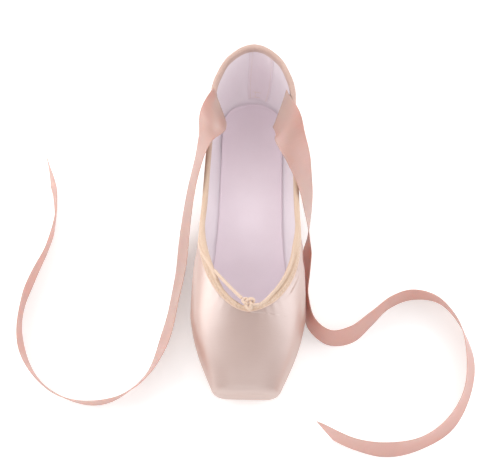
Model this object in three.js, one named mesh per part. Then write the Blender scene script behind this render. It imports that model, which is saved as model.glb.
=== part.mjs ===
// A satin pointe shoe on a straight last, standing empty on its sole with its two ribbons laid out.
// Millimetres, +Z up, toe towards -Y and heel towards +Y, the origin under the middle of the shoe.

import * as THREE from 'three';
import { mergeVertices } from 'three/addons/utils/BufferGeometryUtils.js';

// ---- Driving dimensions ----
const LENGTH = 247;            // platform face to the back of the heel
const BALL_WIDTH = 78.4;       // across the widest part of the toe box
const HEEL_AXIS = 209;         // platform to the upright line that the heel's sections turn about
const QUARTER_TURN = 48;       // station length given to the heel's quarter turn
const LAST_STATION = HEEL_AXIS + QUARTER_TURN;
const GAP = 0.3;               // between pieces that touch

const PLATFORM_EDGE = 2.6;     // rounding round the flat toe face
const PLATFORM_WALL = 5;       // paste and card behind the flat toe face
const BOX_WALL = 3;            // stiffened toe box
const WALL = 1.9;              // satin, canvas and lining at the sides and heel
const BOX_END = 62;            // station where the box's wall has thinned to the plain wall

const THROAT = 52.5;           // platform to the lowest point of the throat
const SIDE = 116;              // station where the collar runs level along the sides
const OPENING_HALF_WIDTH = 33;
const BAND = 7;                // depth of the drawstring casing below the collar's edge

const MARGIN = 12;             // upper turned in under the foot
const UNDER_OPENING = 24;      // platform to the front of the opening underneath
const UNDER_ROUNDING = 14;     // length of that opening's rounded front

const SOLE_THICKNESS = 2.7;
const SOLE_FRONT = 17;
const INSOLE_THICKNESS = 2.2;
const INSOLE_FRONT = 10;
const PLUG_SETBACK = 1;        // the insole's raised underside starts this far behind the opening

const RIBBON_WIDTH = 22;
const RIBBON_THICKNESS = 0.8;
const DRAWSTRING = 2.4;
const KNOT = { long: 5.2, across: 3.4, high: 3.1 };

// ---- The last, a row for each section ----
// at: millimetres behind the platform; half: widest half-width; wide: height of the widest line;
// feather: half-width of the flat underneath; under: height of that flat; ridge: height of the
// top line, which is open air behind the throat.
const heel = (degrees) => HEEL_AXIS + QUARTER_TURN * degrees / 90;
const LAST = [
  { at: 0, half: 21.6, wide: 16, feather: 14.5, under: 5.6, ridge: 28.2 },
  { at: 6, half: 24.2, wide: 17, feather: 17.4, under: 4.8, ridge: 31.6 },
  { at: 16, half: 28.6, wide: 18, feather: 21.6, under: 3.6, ridge: 36.8 },
  { at: 28, half: 33.3, wide: 19, feather: 26, under: 3, ridge: 42 },
  { at: 42, half: 37.2, wide: 20, feather: 29.6, under: 3, ridge: 47.6 },
  { at: 56, half: BALL_WIDTH / 2, wide: 21, feather: 31, under: 3, ridge: 52.4 },
  { at: 70, half: 39, wide: 23, feather: 30.4, under: 3, ridge: 56.8 },
  { at: 86, half: 38.2, wide: 26, feather: 28.4, under: 3.8, ridge: 61 },
  { at: 106, half: 35.8, wide: 30, feather: 25.8, under: 7, ridge: 67 },
  { at: 131, half: 32.8, wide: 34, feather: 24.2, under: 10.5, ridge: 74 },
  { at: 161, half: 31.4, wide: 38, feather: 23.8, under: 8, ridge: 80 },
  { at: 191, half: 30, wide: 42, feather: 23.8, under: 3, ridge: 84 },
  { at: HEEL_AXIS, half: 28.9, wide: 44, feather: 23.2, under: 3, ridge: 85 },
  { at: heel(30), half: 29.8, wide: 45.5, feather: 21.8, under: 3, ridge: 85 },
  { at: heel(60), half: 34, wide: 48, feather: 19.8, under: 3, ridge: 85 },
  { at: heel(90), half: LENGTH - HEEL_AXIS, wide: 49, feather: 18.8, under: 3, ridge: 85 },
];

// The collar's height from the level of the sides back to the heel.
const COLLAR = [
  { at: SIDE, high: 43.3 },
  { at: 141, high: 42 },
  { at: 166, high: 43.6 },
  { at: 191, high: 48 },
  { at: HEEL_AXIS, high: 52 },
  { at: heel(30), high: 55 },
  { at: heel(60), high: 57 },
  { at: heel(90), high: 57.8 },
];

// The leather outsole's half-width, narrower than the upper all the way.
const SOLE = [
  { at: SOLE_FRONT, half: 14 },
  { at: 30, half: 21 },
  { at: 50, half: 24.5 },
  { at: 72, half: 24 },
  { at: 100, half: 18 },
  { at: 135, half: 14.5 },
  { at: 170, half: 16 },
  { at: 198, half: 19 },
  { at: HEEL_AXIS, half: 19.2 },
  { at: heel(45), half: 17.4 },
  { at: heel(90), half: 16 },
];

// ---- Ribbon and drawstring routes, chosen by hand ----
// turn: the ribbon's lean about its own run, 0 standing on its edge and 90 lying flat.
const RIBBON_LEFT = [
  { x: -23.4, y: 78, z: 49.6, turn: -134 },
  { x: -27.8, y: 66, z: 50.8, turn: -88 },
  { x: -32.4, y: 52.5, z: 48.4, turn: -37 },
  { x: -36.8, y: 38, z: 44, turn: -23 },
  { x: -41, y: 22, z: 35, turn: -21 },
  { x: -44, y: 6, z: 24, turn: -21 },
  { x: -46, y: -11, z: 15.5, turn: -22 },
  { x: -47.5, y: -31, z: 11, turn: -22 },
  { x: -50.5, y: -52, z: 11, turn: -22 },
  { x: -54, y: -72, z: 11, turn: -21 },
  { x: -58.5, y: -90, z: 11, turn: -20 },
  { x: -65, y: -105, z: 11, turn: -18 },
  { x: -75, y: -117, z: 11, turn: -16 },
  { x: -89, y: -126, z: 11, turn: -14 },
  { x: -106, y: -129, z: 11, turn: -12 },
  { x: -124, y: -125, z: 11, turn: -10 },
  { x: -140, y: -114, z: 11, turn: -8 },
  { x: -151, y: -98, z: 11, turn: -6 },
  { x: -156, y: -78, z: 11, turn: -4 },
  { x: -155, y: -57, z: 11, turn: 0 },
  { x: -149, y: -37, z: 11, turn: 4 },
  { x: -142, y: -18, z: 11, turn: 8 },
  { x: -138, y: 2, z: 11, turn: 10 },
  { x: -139, y: 22, z: 11, turn: 8 },
  { x: -145, y: 41, z: 11, turn: 6 },
];
const RIBBON_RIGHT = [
  { x: 18.8, y: 77.5, z: 48, turn: 123 },
  { x: 23.4, y: 66, z: 51, turn: 111 },
  { x: 26.6, y: 54, z: 51, turn: 86 },
  { x: 33, y: 38, z: 46, turn: 58 },
  { x: 38.2, y: 22, z: 36.5, turn: 33 },
  { x: 40.4, y: 7, z: 27, turn: 16 },
  { x: 41, y: -6, z: 20, turn: 0 },
  { x: 40, y: -20, z: 14.5, turn: -16 },
  { x: 39.6, y: -36, z: 11.3, turn: -12 },
  { x: 39.9, y: -53, z: 11, turn: -5 },
  { x: 44, y: -69, z: 11, turn: -6 },
  { x: 56, y: -78.5, z: 11, turn: -10 },
  { x: 71, y: -76, z: 11, turn: -14 },
  { x: 85, y: -64, z: 11, turn: -12 },
  { x: 98, y: -52, z: 11, turn: -5 },
  { x: 113, y: -46, z: 11, turn: 4 },
  { x: 131, y: -49, z: 11, turn: 12 },
  { x: 145, y: -65, z: 11, turn: 16 },
  { x: 152, y: -89, z: 11, turn: 18 },
  { x: 149, y: -115, z: 11, turn: 18 },
  { x: 137, y: -137, z: 11, turn: 16 },
  { x: 117, y: -151, z: 11, turn: 12 },
  { x: 95, y: -156, z: 11, turn: 8 },
  { x: 74, y: -153, z: 11, turn: 4 },
  { x: 53, y: -144, z: 11, turn: 2 },
];
const DRAWSTRING_ROUTE = [
  { x: -5.6, y: -69.4, z: 54.8 },
  { x: -8.8, y: -66, z: 55 },
  { x: -12.6, y: -61.4, z: 54.8 },
  { x: -16.4, y: -56.8, z: 54.3 },
  { x: -20, y: -52.2, z: 53.5 },
  { x: -23.2, y: -47.4, z: 52.3 },
];

// ---- Curves through the tables ----
// A smooth curve through one column of a table that never overshoots its rows, and that is level at
// the last row, where the two halves of the shoe meet.
function column(rows, name) {
  const xs = rows.map((row) => row.at);
  const ys = rows.map((row) => row[name]);
  const slopes = xs.slice(1).map((x, i) => (ys[i + 1] - ys[i]) / (x - xs[i]));
  const tangents = xs.map((_, i) => {
    const before = slopes[Math.max(i - 1, 0)];
    const after = slopes[i] ?? 0;
    return before * after <= 0 ? 0 : 2 * before * after / (before + after);
  });
  return (at) => {
    const x = THREE.MathUtils.clamp(at, xs[0], xs.at(-1));
    const i = Math.min(xs.findLastIndex((known) => known <= x), slopes.length - 1);
    const run = xs[i + 1] - xs[i];
    const t = (x - xs[i]) / run;
    const rise = (3 - 2 * t) * t * t;
    const bend = run * t * (1 - t) * (tangents[i] * (1 - t) - tangents[i + 1] * t);
    return ys[i] + (ys[i + 1] - ys[i]) * rise + bend;
  };
}

const last = Object.fromEntries(
  ['half', 'wide', 'feather', 'under', 'ridge'].map((name) => [name, column(LAST, name)]),
);
const collarHeight = column(COLLAR, 'high');
const soleHalf = column(SOLE, 'half');

// How far the sections draw in close to the platform, as a quarter round of the given radius.
function rounding(at, start, radius) {
  const left = THREE.MathUtils.clamp(radius - (at - start), 0, radius);
  return radius - Math.sqrt(radius * radius - left * left);
}

// Wall thickness at a station.
function wallAt(at) {
  const thinned = THREE.MathUtils.smoothstep(at, BOX_END - 22, BOX_END);
  return THREE.MathUtils.lerp(BOX_WALL, WALL, thinned);
}

// A place on the shoe from its station, its distance from the middle line and its height.
function place(at, out, high) {
  const angle = THREE.MathUtils.clamp((at - HEEL_AXIS) / QUARTER_TURN, 0, 1) * Math.PI / 2;
  const back = Math.min(at, HEEL_AXIS) + out * Math.sin(angle);
  const across = angle === Math.PI / 2 ? 0 : out * Math.cos(angle);
  return new THREE.Vector3(across, back - LENGTH / 2, high);
}

// ---- The section of the last ----
// share runs from 0 at the middle of the underside, past the feather edge and the widest line,
// to 1 at the top line. inset moves the whole section inwards.
const FEATHER_SHARE = 0.2;
const WIDEST_SHARE = 0.5;
const quarter = (t) => t * Math.PI / 2;

function lastPoint(at, share, inset = 0) {
  const half = last.half(at) - inset;
  const feather = last.feather(at) - inset;
  const under = last.under(at) + inset;
  const ridge = last.ridge(at) - inset;
  const wide = last.wide(at);
  if (share <= FEATHER_SHARE) return place(at, feather * share / FEATHER_SHARE, under);
  if (share <= WIDEST_SHARE) {
    const turn = quarter((share - FEATHER_SHARE) / (WIDEST_SHARE - FEATHER_SHARE));
    return place(at, feather + (half - feather) * Math.sin(turn), wide - (wide - under) * Math.cos(turn));
  }
  const turn = quarter((share - WIDEST_SHARE) / (1 - WIDEST_SHARE));
  const out = share === 1 ? 0 : half * Math.cos(turn);
  return place(at, out, wide + (ridge - wide) * Math.sin(turn));
}

// Share of the section at which the collar's edge lies: a rounded throat, then the collar's height.
function collarShare(at) {
  if (at <= THROAT) return 1;
  if (at <= SIDE) {
    const forward = (SIDE - at) / (SIDE - THROAT);
    const out = OPENING_HALF_WIDTH * (1 - forward ** 2.1) ** 0.625;
    return WIDEST_SHARE + (1 - WIDEST_SHARE) * Math.acos(out / last.half(at)) / quarter(1);
  }
  const up = (collarHeight(at) - last.wide(at)) / (last.ridge(at) - last.wide(at));
  return WIDEST_SHARE + (1 - WIDEST_SHARE) * Math.asin(up) / quarter(1);
}

// Stations of the collar's edge, close together round the tight curve of the throat.
const THROAT_STEPS = 15;
const SIDE_STEPS = 11;
const HEEL_STEPS = 10;
const collarStations = [];
for (let i = 0; i < THROAT_STEPS; i += 1) {
  collarStations.push(SIDE - (SIDE - THROAT) * Math.cos(quarter(i / THROAT_STEPS)));
}
for (let i = 0; i < SIDE_STEPS; i += 1) {
  collarStations.push(THREE.MathUtils.lerp(SIDE, HEEL_AXIS, i / SIDE_STEPS));
}
for (let i = 0; i <= HEEL_STEPS; i += 1) {
  collarStations.push(THREE.MathUtils.lerp(HEEL_AXIS, LAST_STATION, i / HEEL_STEPS));
}

// A spot on the last moved along its surface by a short way in a given direction.
function moved({ at, share }, direction, way) {
  const step = 0.01;
  const slope = (before, after) => after.sub(before).divideScalar(2 * step);
  const alongShoe = slope(lastPoint(at - step, share), lastPoint(at + step, share));
  const upSection = slope(lastPoint(at, share - step), lastPoint(at, Math.min(share + step, 1)));
  const [a, b, c] = [alongShoe.dot(alongShoe), alongShoe.dot(upSection), upSection.dot(upSection)];
  const [p, q] = [alongShoe.dot(direction) * way, upSection.dot(direction) * way];
  const scale = a * c - b * b;
  return { at: at + (p * c - q * b) / scale, share: share + (q * a - p * b) / scale };
}

// The spot a given way down from the collar's edge, measured square to that edge.
const WALK_STEPS = 4;
const ABOVE_FOOT = new THREE.Vector3(0, 20, 90);

function belowCollar(index, down) {
  const at = collarStations[index];
  const share = collarShare(at);
  const edge = (i) => lastPoint(collarStations[i], collarShare(collarStations[i]));
  const isFront = index === 0;
  const isBack = index === collarStations.length - 1;
  const run = isFront || isBack ? new THREE.Vector3(1, 0, 0) : edge(index + 1).sub(edge(index - 1));
  const out = lastPoint(at, share).sub(lastPoint(at, share, 1));
  const square = new THREE.Vector3().crossVectors(out, run).normalize();
  if (square.dot(edge(index).sub(ABOVE_FOOT)) < 0) square.negate();
  let spot = { at, share };
  for (let i = 0; i < WALK_STEPS; i += 1) {
    spot = moved(spot, square, down / WALK_STEPS);
    if (isFront) spot.share = 1;
    if (isBack) spot.at = LAST_STATION;
  }
  return spot;
}

// ---- Closed skins ----
// Triangles of a grid of points, as pairs that follow the rows and the columns.
function sheet(rows, flip = false) {
  const faces = [];
  for (let i = 0; i + 1 < rows.length; i += 1) {
    for (let j = 0; j + 1 < rows[i].length; j += 1) {
      const [a, b] = [rows[i][j], rows[i][j + 1]];
      const [c, d] = [rows[i + 1][j], rows[i + 1][j + 1]];
      faces.push(flip ? [a, b, c] : [a, c, b], flip ? [b, d, c] : [b, c, d]);
    }
  }
  return faces;
}

// A flat end for one half of a section, as a fan about a point on the middle line.
function cap(row) {
  const middle = new THREE.Vector3(0, row[0].y, (row[0].z + row.at(-1).z) / 2);
  return row.slice(1).map((point, i) => [middle, row[i], point]);
}

const reversed = (faces) => faces.map((face) => [...face].reverse());
const mirrored = (faces) => faces.map((face) => face.map((p) => new THREE.Vector3(-p.x, p.y, p.z)).reverse());

// A closed mesh from triangles, with the flat ones left out and shared corners joined.
function solid(faces) {
  const corners = [];
  for (const [a, b, c] of faces) {
    const area = new THREE.Vector3().subVectors(b, a).cross(new THREE.Vector3().subVectors(c, a)).length();
    if (area > 1e-5) corners.push(a, b, c);
  }
  const geometry = new THREE.BufferGeometry().setFromPoints(corners);
  return mergeVertices(geometry, 1e-3);
}

const steps = (from, to, count) => Array.from({ length: count + 1 }, (_, i) => from + (to - from) * i / count);

// ---- Upper ----
const TOP_COLUMNS = 8;
const SIDE_COLUMNS = 5;

// Share at the inner edge of the margin turned in under the foot.
function marginShare(at) {
  if (at <= UNDER_OPENING) return 0;
  const ahead = THREE.MathUtils.clamp(1 - (at - UNDER_OPENING) / UNDER_ROUNDING, 0, 1);
  const open = (last.feather(at) - MARGIN) * Math.sqrt(1 - ahead * ahead);
  return FEATHER_SHARE * open / last.feather(at);
}

function upperShares(at, top) {
  const middle = Math.min(WIDEST_SHARE, THREE.MathUtils.lerp(FEATHER_SHARE, top, 0.8));
  return [
    ...steps(marginShare(at), FEATHER_SHARE, 2),
    ...steps(FEATHER_SHARE, middle, SIDE_COLUMNS).slice(1),
    ...steps(middle, top, TOP_COLUMNS).slice(1),
  ];
}

// The sections that the shell is built on: the closed toe box, then the edge under the casing.
const openEdge = collarStations.map((_, i) => belowCollar(i, BAND + GAP));
const toeBox = [
  ...[0, 0.3, 0.9, 1.7, PLATFORM_EDGE, PLATFORM_WALL, 7, 9, 11, 15, 18, 21],
  ...[UNDER_OPENING, 25, 27, 30, 34, UNDER_OPENING + UNDER_ROUNDING, 42],
];
const closed = toeBox.map((at) => ({ at, share: 1 }));
const shellRows = [...closed, ...openEdge];

function makeUpper() {
  const rows = shellRows;
  const outside = rows.map(({ at, share }) => {
    const drawn = rounding(at, 0, PLATFORM_EDGE);
    return upperShares(at, share).map((s) => lastPoint(at, s, drawn));
  });
  const hollow = rows.filter(({ at }) => at >= PLATFORM_WALL);
  const inside = hollow.map(({ at, share }) => {
    const drawn = wallAt(at) + rounding(at, PLATFORM_WALL, 4);
    return upperShares(at, share).map((s) => lastPoint(at, s, drawn));
  });
  const matching = outside.slice(outside.length - inside.length);
  const collar = matching.map((row, i) => [row.at(-1), inside[i].at(-1)]);
  const margin = matching.map((row, i) => [inside[i][0], row[0]]);
  const firstOpen = hollow.findIndex(({ at }) => at >= UNDER_OPENING);
  const half = [
    ...sheet(outside),
    ...sheet(inside, true),
    ...sheet(collar.slice(closed.length - (outside.length - inside.length))),
    ...sheet(margin.slice(firstOpen)),
    ...cap(outside[0]),
    ...reversed(cap(inside[0])),
  ];
  return solid([...half, ...mirrored(half)]);
}

// ---- Drawstring casing round the collar ----
// The band's section: how far down from the collar's edge, and how far in from the last's surface.
const BAND_SECTION = [
  { down: BAND, inset: -0.5 },
  { down: 3.5, inset: -0.8 },
  { down: 1.2, inset: -0.7 },
  { down: 0.2, inset: 0.1 },
  { down: 0, inset: 1.1 },
  { down: 0.5, inset: 2.1 },
  { down: 2, inset: 2.7 },
  { down: 4.5, inset: 2.8 },
  { down: BAND, inset: 2.5 },
];

function makeBinding() {
  const rows = collarStations.map((_, i) => {
    const ring = BAND_SECTION.map(({ down, inset }) => {
      const { at, share } = belowCollar(i, down);
      return lastPoint(at, share, inset);
    });
    return [...ring, ring[0]];
  });
  const half = sheet(rows);
  return solid([...half, ...mirrored(half)]);
}

// ---- Outsole and insole ----
// Both are built on the shell's own sections, so that the pieces lie evenly on one another.
const stationsFrom = (front) => [front, ...shellRows.map(({ at }) => at).filter((at) => at > front + 0.5)];

// A tongue-shaped front end: the half-width grows as a quarter round over its own depth.
function tongue(at, front, half) {
  const ahead = THREE.MathUtils.clamp(1 - (at - front) / 10, 0, 1);
  return half * Math.sqrt(1 - ahead * ahead * 0.85);
}

function makeOutsole() {
  const rows = stationsFrom(SOLE_FRONT).map((at) => {
    const half = tongue(at, SOLE_FRONT, soleHalf(at));
    const top = last.under(at) - GAP;
    const bottom = top - SOLE_THICKNESS;
    return [
      place(at, 0, bottom),
      place(at, half / 2, bottom),
      place(at, half - 0.7, bottom),
      place(at, half, bottom + 0.8),
      place(at, half, top),
      place(at, half / 2, top),
      place(at, 0, top),
    ];
  });
  const half = [...sheet(rows), ...cap(rows[0])];
  return solid([...half, ...mirrored(half)]);
}

// The board lies on the turned-in margin, and its underside is rebated to fill the opening there.
function makeInsole() {
  const rows = stationsFrom(INSOLE_FRONT).map((at) => {
    const wall = wallAt(at);
    const half = tongue(at, INSOLE_FRONT, last.feather(at) - wall);
    const seat = last.under(at) + wall + GAP;
    const opening = (last.feather(at) - wall) * marginShare(at - PLUG_SETBACK) / FEATHER_SHARE;
    const plug = Math.max(0, opening - GAP);
    const plugBottom = plug > 0 ? last.under(at) : seat;
    return [
      place(at, 0, plugBottom),
      place(at, plug, plugBottom),
      place(at, plug, seat),
      place(at, half, seat),
      place(at, half, seat + INSOLE_THICKNESS - 0.5),
      place(at, half - 0.5, seat + INSOLE_THICKNESS),
      place(at, 0, seat + INSOLE_THICKNESS),
    ];
  });
  const half = [...sheet(rows), ...cap(rows[0])];
  return solid([...half, ...mirrored(half)]);
}

// ---- Ribbons and drawstring ----
const RIBBON_STEPS = 60;

// A flat strip carried along its route, leaning by the route's own turn and kept off the floor.
function makeRibbon(route) {
  const curve = new THREE.CatmullRomCurve3(route.map(({ x, y, z }) => new THREE.Vector3(x, y, z)));
  const lean = route.map(({ turn }, i) => ({ at: i, turn }));
  const leanAt = column(lean, 'turn');
  const up = new THREE.Vector3(0, 0, 1);
  const rows = steps(0, 1, RIBBON_STEPS).map((t) => {
    const along = curve.getTangent(t);
    const upright = up.clone().addScaledVector(along, -along.z).normalize();
    const sideways = new THREE.Vector3().crossVectors(along, upright);
    const turn = THREE.MathUtils.degToRad(leanAt(t * (route.length - 1)));
    const across = upright.clone().multiplyScalar(Math.cos(turn)).addScaledVector(sideways, Math.sin(turn));
    const face = new THREE.Vector3().crossVectors(along, across);
    const centre = curve.getPoint(t);
    const reach = Math.abs(across.z) * RIBBON_WIDTH / 2 + Math.abs(face.z) * RIBBON_THICKNESS / 2;
    centre.z = Math.max(centre.z, reach + GAP);
    return [1, -1].map((side) => [-1, 0, 1].map((edge) => centre.clone()
      .addScaledVector(across, edge * RIBBON_WIDTH / 2)
      .addScaledVector(face, side * RIBBON_THICKNESS / 2)));
  });
  const fronts = rows.map(([front]) => front);
  const backs = rows.map(([, back]) => back);
  const topEdge = rows.map(([front, back]) => [front[2], back[2]]);
  const lowEdge = rows.map(([front, back]) => [back[0], front[0]]);
  const ends = [...reversed(sheet(rows[0])), ...sheet(rows.at(-1))];
  return solid([...sheet(fronts), ...sheet(backs, true), ...sheet(topEdge), ...sheet(lowEdge), ...ends]);
}

function makeDrawstring() {
  const curve = new THREE.CatmullRomCurve3(DRAWSTRING_ROUTE.map(({ x, y, z }) => new THREE.Vector3(x, y, z)));
  const section = new THREE.Shape();
  const sides = 8;
  for (let i = 0; i < sides; i += 1) {
    const angle = 2 * Math.PI * i / sides;
    section.lineTo(DRAWSTRING / 2 * Math.cos(angle), DRAWSTRING / 2 * Math.sin(angle));
  }
  return new THREE.ExtrudeGeometry(section, { steps: 6, extrudePath: curve, bevelEnabled: false });
}

// ---- The shoe ----
const satin = { color: 0xe9d0c4, roughness: 0.38, metalness: 0 };
const FINISHES = {
  upper: satin,
  binding: { color: 0xe8cdb2, roughness: 0.75, metalness: 0 },
  insole: { color: 0xd9cddb, roughness: 0.85, metalness: 0 },
  outsole: { color: 0xc9a98a, roughness: 0.8, metalness: 0 },
  ribbon_left: { color: 0xe6bfb4, roughness: 0.45, metalness: 0 },
  ribbon_right: { color: 0xe6bfb4, roughness: 0.45, metalness: 0 },
  drawstring: { color: 0xf0dccb, roughness: 0.8, metalness: 0 },
  drawstring_knot: { color: 0xf0dccb, roughness: 0.8, metalness: 0 },
};

const shoe = new THREE.Group();

function add(name, geometry) {
  const mesh = new THREE.Mesh(geometry, new THREE.MeshStandardMaterial(FINISHES[name]));
  mesh.name = name;
  shoe.add(mesh);
  return mesh;
}

add('outsole', makeOutsole());
add('upper', makeUpper());
add('insole', makeInsole());
add('binding', makeBinding());
add('ribbon_left', makeRibbon(RIBBON_LEFT));
add('ribbon_right', makeRibbon(RIBBON_RIGHT));
add('drawstring', makeDrawstring());

const knot = new THREE.SphereGeometry(1, 14, 10);
knot.scale(KNOT.long, KNOT.across, KNOT.high);
add('drawstring_knot', knot).position.set(0, THROAT - LENGTH / 2 + 0.6, 54.9);

export default shoe;
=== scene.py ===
"""A pale pink satin pointe shoe standing empty on its sole, with its two ankle ribbons laid out.

Metres, +Z up, toe towards -Y and heel towards +Y.  Every piece is a numpy surface worked out
from the shoe's own sections: a place on the last is a station along the shoe and a share of the
way round that section, from the middle of the underside to the top line.
"""

import bmesh
import bpy
import numpy as np
from mathutils import Matrix, Vector


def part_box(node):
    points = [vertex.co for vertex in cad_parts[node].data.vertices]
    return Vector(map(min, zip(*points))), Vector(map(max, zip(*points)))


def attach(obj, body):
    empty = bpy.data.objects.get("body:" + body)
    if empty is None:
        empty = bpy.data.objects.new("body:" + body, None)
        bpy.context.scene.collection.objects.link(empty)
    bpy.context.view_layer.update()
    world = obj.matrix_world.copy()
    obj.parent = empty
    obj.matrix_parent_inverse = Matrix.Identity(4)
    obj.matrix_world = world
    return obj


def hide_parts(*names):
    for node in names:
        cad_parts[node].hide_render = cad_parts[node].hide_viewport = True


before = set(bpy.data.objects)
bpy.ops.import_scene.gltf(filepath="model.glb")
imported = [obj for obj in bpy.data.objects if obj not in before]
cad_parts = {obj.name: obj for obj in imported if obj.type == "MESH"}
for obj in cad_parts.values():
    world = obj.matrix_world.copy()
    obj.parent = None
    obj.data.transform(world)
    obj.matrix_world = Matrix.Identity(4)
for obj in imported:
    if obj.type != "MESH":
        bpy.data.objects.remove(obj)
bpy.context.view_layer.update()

# ---------------------------------------------------------------- sizes
# A station is a distance behind the platform.  Behind the heel axis the sections turn about an
# upright line, through a quarter turn that counts as so much more length.
MM = 0.001
LENGTH = 247 * MM
HEEL_AXIS = 209 * MM
QUARTER_TURN = 48 * MM
LAST_STATION = HEEL_AXIS + QUARTER_TURN
GAP = 0.3 * MM

TOE_ROUNDING = 4 * MM
PLATFORM_CROWN = 0.25 * MM
PLATFORM_WALL = 5 * MM
BOX_WALL = 3 * MM
WALL = 1.9 * MM
BOX_END = 62 * MM
BOX_THINNING = 22 * MM

# The opening: the vamp's last section in front of it, its own front, where its rounded front meets
# the straight sides, and how blunt and how full that rounded front is.
VAMP_END = 47.6 * MM
THROAT = 52.5 * MM
SIDE = 116 * MM
OPENING_HALF_WIDTH = 33 * MM
THROAT_BLUNTNESS = 2.1
THROAT_FULLNESS = 0.625
BAND = 7 * MM

MARGIN = 12 * MM
UNDER_OPENING = 24 * MM
UNDER_ROUNDING = 14 * MM

SOLE_THICKNESS = 2.7 * MM
SOLE_FRONT = 17 * MM
SOLE_CORNER = 0.8 * MM
INSOLE_THICKNESS = 2.2 * MM
INSOLE_FRONT = 10 * MM
INSOLE_CORNER = 0.9 * MM
PLUG_SETBACK = 1 * MM
TONGUE_DEPTH = 10 * MM

RIBBON_WIDTH = 22 * MM
RIBBON_THICKNESS = 0.45 * MM
DRAWSTRING = 2.4 * MM

# Shares of the way round a section from the middle of the underside: where the flat underside ends,
# the widest line, and a place just short of the top line, where the normal is still known.
FEATHER_SHARE = 0.2
WIDEST_SHARE = 0.5
NEARLY_TOP = 0.9999


def heel(degrees):
    """Station, in millimetres, that the heel's turn has reached after so many degrees."""
    return (HEEL_AXIS + QUARTER_TURN * degrees / 90) / MM


def table(names, rows):
    """Named columns, in metres, from rows in millimetres."""
    return dict(zip(names.split(), np.array(rows, float).T * MM))


# The last's sections: half-width, height of the widest line, half-width of the flat underside, height
# of that underside, and height of the top line.
LAST = table("at half wide feather under ridge", [
    (0, 21.6, 16, 14.5, 5.6, 28.2),
    (6, 24.2, 17, 17.4, 4.8, 31.6),
    (16, 28.6, 18, 21.6, 3.6, 36.8),
    (28, 33.3, 19, 26, 3, 42),
    (42, 37.2, 20, 29.6, 3, 47.6),
    (56, 39.2, 21, 31, 3, 52.4),
    (70, 39, 23, 30.4, 3, 56.8),
    (86, 38.2, 26, 28.4, 3.8, 61),
    (106, 35.8, 30, 25.8, 7, 67),
    (131, 32.8, 34, 24.2, 10.5, 74),
    (161, 31.4, 38, 23.8, 8, 80),
    (191, 30, 42, 23.8, 3, 84),
    (heel(0), 28.9, 44, 23.2, 3, 85),
    (heel(30), 29.8, 45.5, 21.8, 3, 85),
    (heel(60), 34, 48, 19.8, 3, 85),
    (heel(90), 38, 49, 18.8, 3, 85),
])
# The height of the collar's edge behind the rounded throat.
COLLAR = table("at high", [
    (116, 42.76), (141, 42), (166, 43.6), (191, 48), (heel(0), 52),
    (heel(30), 55), (heel(60), 57), (heel(90), 57.8),
])
# The leather sole's half-width.
SOLE = table("at half", [
    (17, 14), (30, 21), (50, 24.5), (72, 24), (100, 18), (135, 14.5), (170, 16),
    (198, 19), (heel(0), 19.2), (heel(45), 17.4), (heel(90), 16),
])

# The ribbons' middle lines and their lean in degrees: 0 stands on its edge, 90 lies flat.
RIBBON_LEFT = [
    (-23.4, 78, 49.6, -134), (-27.8, 66, 50.8, -88), (-32.4, 52.5, 48.4, -37), (-36.8, 38, 44, -23),
    (-41, 22, 35, -21), (-44, 6, 24, -21), (-46, -11, 15.5, -22), (-47.5, -31, 11, -22),
    (-50.5, -52, 11, -22), (-54, -72, 11, -21), (-58.5, -90, 11, -20), (-65, -105, 11, -18),
    (-75, -117, 11, -16), (-89, -126, 11, -14), (-106, -129, 11, -12), (-124, -125, 11, -10),
    (-140, -114, 11, -8), (-151, -98, 11, -6), (-156, -78, 11, -4), (-155, -57, 11, 0),
    (-149, -37, 11, 4), (-142, -18, 11, 8), (-138, 2, 11, 10), (-139, 22, 11, 8), (-145, 41, 11, 6),
]
RIBBON_RIGHT = [
    (18.8, 77.5, 48, 123), (23.4, 66, 51, 111), (26.6, 54, 51, 86), (33, 38, 46, 58),
    (38.2, 22, 36.5, 33), (40.4, 7, 27, 16), (41, -6, 20, 0), (40, -20, 14.5, -16),
    (39.6, -36, 11.3, -12), (39.9, -53, 11, -5), (44, -69, 11, -6), (56, -78.5, 11, -10),
    (71, -76, 11, -14), (85, -64, 11, -12), (98, -52, 11, -5), (113, -46, 11, 4), (131, -49, 11, 12),
    (145, -65, 11, 16), (152, -89, 11, 18), (149, -115, 11, 18), (137, -137, 11, 16),
    (117, -151, 11, 12), (95, -156, 11, 8), (74, -153, 11, 4), (53, -144, 11, 2),
]
# The drawstring in the open, from the knot to where it goes into the casing.
DRAWSTRING_ROUTE = [
    (-4.4, -67.6, 55), (-8.2, -64.2, 55.2), (-12.3, -60.0, 55),
    (-16.3, -55.6, 54.4), (-20, -51.4, 53.5), (-23.2, -47.2, 52.3),
]

# Where the casing starts and ends, down from the collar's edge, by the way round from the throat.
CASING_LEFT = table("run start end", [
    (0, 1.0, 4.0), (8, 0.5, 4.4), (20, 0.3, 4.6), (30, -1.0, 4.6), (45, -2.0, 4.5), (60, -1.6, 5.0),
    (88, 0, 7),
])
CASING_RIGHT = table("run start end", [
    (0, 1.0, 4.0), (8, 1.2, 5.0), (18, 0.2, 6.2), (32, 0, 6.8), (48, -0.8, 6.4), (60, -2.2, 5.4),
    (72, -1.5, 5.9), (92, 0, 7),
])


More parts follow.
